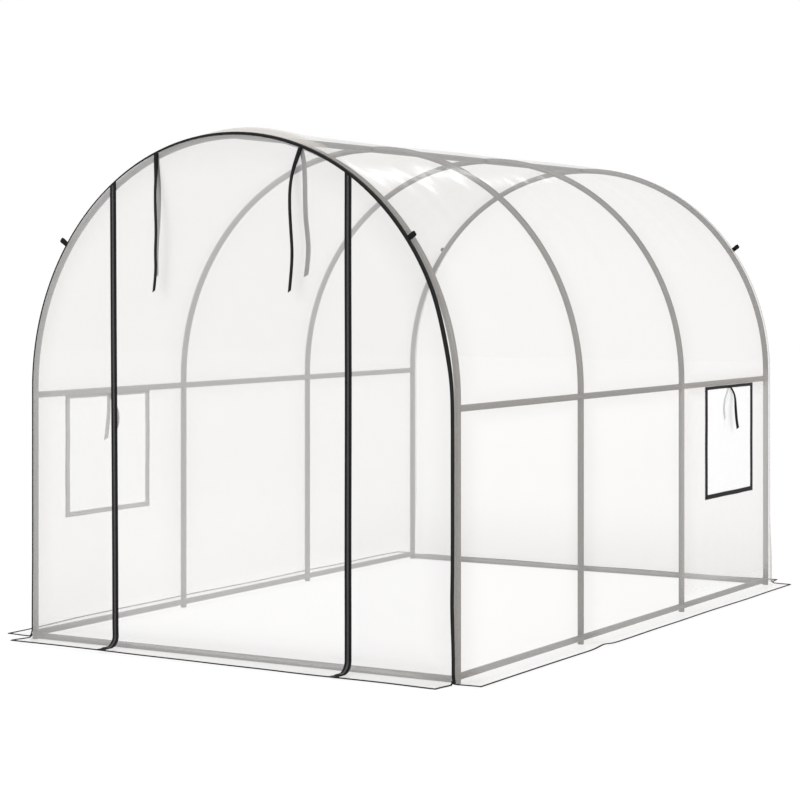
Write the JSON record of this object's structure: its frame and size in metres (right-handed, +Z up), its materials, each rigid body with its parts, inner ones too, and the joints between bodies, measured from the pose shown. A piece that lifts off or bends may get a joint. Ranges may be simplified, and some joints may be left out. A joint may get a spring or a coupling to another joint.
{
  "type": "polytunnel greenhouse",
  "caption": "Walk-in polytunnel greenhouse: arched galvanised tube hoops and rails under a clear film cover with a zipped roll-up door, side windows and a ground skirt.",
  "frame": {"origin": "on the ground in the middle of the tunnel", "axes": "+X to the right when facing the zipped door, +Y along the tunnel from the door to the back end, +Z up"},
  "size_m": [2.2146, 3.275, 2.0256],
  "materials": {
    "galvanised_tube": "satin galvanised",
    "clear_film": "clear film",
    "window_film": "clear film",
    "black_tape": "woven tape",
    "zip": "coil zip on woven tape",
    "black_webbing": "woven webbing"
  },
  "bodies": {
    "root": {"back_base_rail": "galvanised_tube", "back_edge_binding": "clear_film", "back_hoop_arch": "galvanised_tube", "back_hoop_legs": "galvanised_tube", "back_panel": "clear_film", "back_skirt": "clear_film", "door_skirt": "clear_film", "front_base_rail": "galvanised_tube", "front_corner_skirts": "clear_film", "front_door": "clear_film", "front_edge_binding": "black_tape", "front_hoop_arch": "galvanised_tube", "front_hoop_legs": "galvanised_tube", "front_left_panel": "clear_film", "front_right_panel": "clear_film", "guy_loops": "black_webbing", "left_base_rail": "galvanised_tube", "left_door_tie_inner": "black_webbing", "left_door_tie_outer": "black_webbing", "left_door_zip": "zip", "left_roof_cover": "clear_film", "left_side_rail": "galvanised_tube", "left_skirt": "clear_film", "left_wall_cover": "clear_film", "left_window_border": "black_tape", "left_window_flap": "window_film", "left_window_tie_inner": "black_webbing", "left_window_tie_outer": "black_webbing", "ridge_rail": "galvanised_tube", "right_base_rail": "galvanised_tube", "right_door_tie_inner": "black_webbing", "right_door_tie_outer": "black_webbing", "right_door_zip": "zip", "right_roof_cover": "clear_film", "right_side_rail": "galvanised_tube", "right_skirt": "clear_film", "right_wall_cover": "clear_film", "right_window_border": "black_tape", "right_window_flap": "window_film", "right_window_tie_inner": "black_webbing", "right_window_tie_outer": "black_webbing", "second_hoop_arch": "galvanised_tube", "second_hoop_legs": "galvanised_tube", "skirt_edging": "black_tape", "third_hoop_arch": "galvanised_tube", "third_hoop_legs": "galvanised_tube"}
  },
  "joints": []
}
